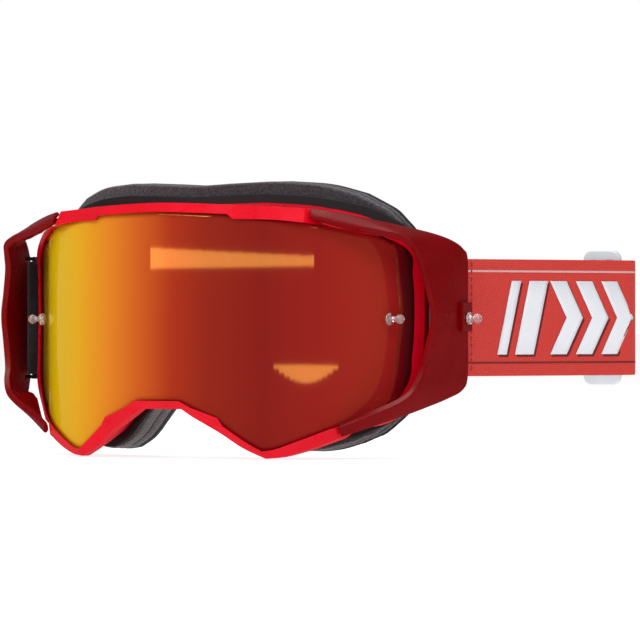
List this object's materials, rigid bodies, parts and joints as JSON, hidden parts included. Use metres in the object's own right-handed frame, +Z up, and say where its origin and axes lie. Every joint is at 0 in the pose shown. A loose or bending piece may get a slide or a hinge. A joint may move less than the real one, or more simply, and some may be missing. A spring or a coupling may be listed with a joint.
{
  "type": "motorcycle goggles",
  "caption": "Motorcycle goggles with a bent mirror lens, ringed frame, side outriggers, layered face foam and an elastic head strap with adjusters.",
  "frame": {"origin": "centre of the face seat, where the foam meets the brow, at the height of the tear-off posts", "axes": "-Y out through the lens, +X to the wearer's left, +Z up"},
  "size_m": [0.266, 0.152, 0.1055],
  "materials": {
    "frame_red": "satin",
    "outrigger_red": "satin",
    "mirror_lens": "polished",
    "clear_post": "clear",
    "black_rubber": "matte",
    "foam": "open cell",
    "fleece": "brushed",
    "strap_webbing": "woven",
    "slider_plastic": "smooth",
    "silicone": "tacky"
  },
  "bodies": {
    "root": {"face_flange": "black_rubber", "foam_base": "foam", "foam_fleece": "fleece", "foam_middle": "foam", "frame_body": "frame_red", "frame_rim": "frame_red", "lens": "mirror_lens", "lens_post_left": "clear_post", "lens_post_right": "clear_post", "silicone_grip_lower": "silicone", "silicone_grip_middle": "silicone", "silicone_grip_upper": "silicone", "strap_overlap": "strap_webbing", "strap_rear": "strap_webbing", "strap_tail_left": "strap_webbing", "strap_tail_right": "strap_webbing", "vent_foam_bottom_left": "foam", "vent_foam_bottom_right": "foam", "vent_foam_top": "foam"},
    "outrigger_left": {"bar_clip_lower_left": "black_rubber", "bar_clip_upper_left": "black_rubber", "outrigger_left": "outrigger_red", "outrigger_post_left": "clear_post", "strap_bar_left": "black_rubber", "strap_side_left": "strap_webbing"},
    "slider_left": {"slider_left": "slider_plastic"},
    "outrigger_right": {"bar_clip_lower_right": "black_rubber", "bar_clip_upper_right": "black_rubber", "outrigger_post_right": "clear_post", "outrigger_right": "outrigger_red", "strap_bar_right": "black_rubber", "strap_side_right": "strap_webbing"},
    "slider_right": {"slider_right": "slider_plastic"}
  },
  "joints": [
    {"name": "outrigger_left_flex", "type": "hinge", "parent": "root", "child": "outrigger_left", "pos_m": [-0.06225, -0.02405, -0.00085], "axis": [0.1059, -0.0797, 0.9912], "range_deg": [-2, 6], "stiffness_Nm_per_rad": 3, "deforming": ["strap_side_left"]},
    {"name": "slider_left_slide", "type": "slide", "parent": "root", "child": "slider_left", "axis": [1, 0, 0], "range_m": [0, 0.056], "deforming": ["strap_tail_left"]},
    {"name": "outrigger_right_flex", "type": "hinge", "parent": "root", "child": "outrigger_right", "pos_m": [0.06225, -0.02405, -0.00085], "axis": [0.1059, 0.0797, -0.9912], "range_deg": [-2, 6], "stiffness_Nm_per_rad": 3, "deforming": ["strap_side_right"]},
    {"name": "slider_right_slide", "type": "slide", "parent": "root", "child": "slider_right", "axis": [-1, 0, 0], "range_m": [0, 0.056], "deforming": ["strap_tail_right"]}
  ]
}
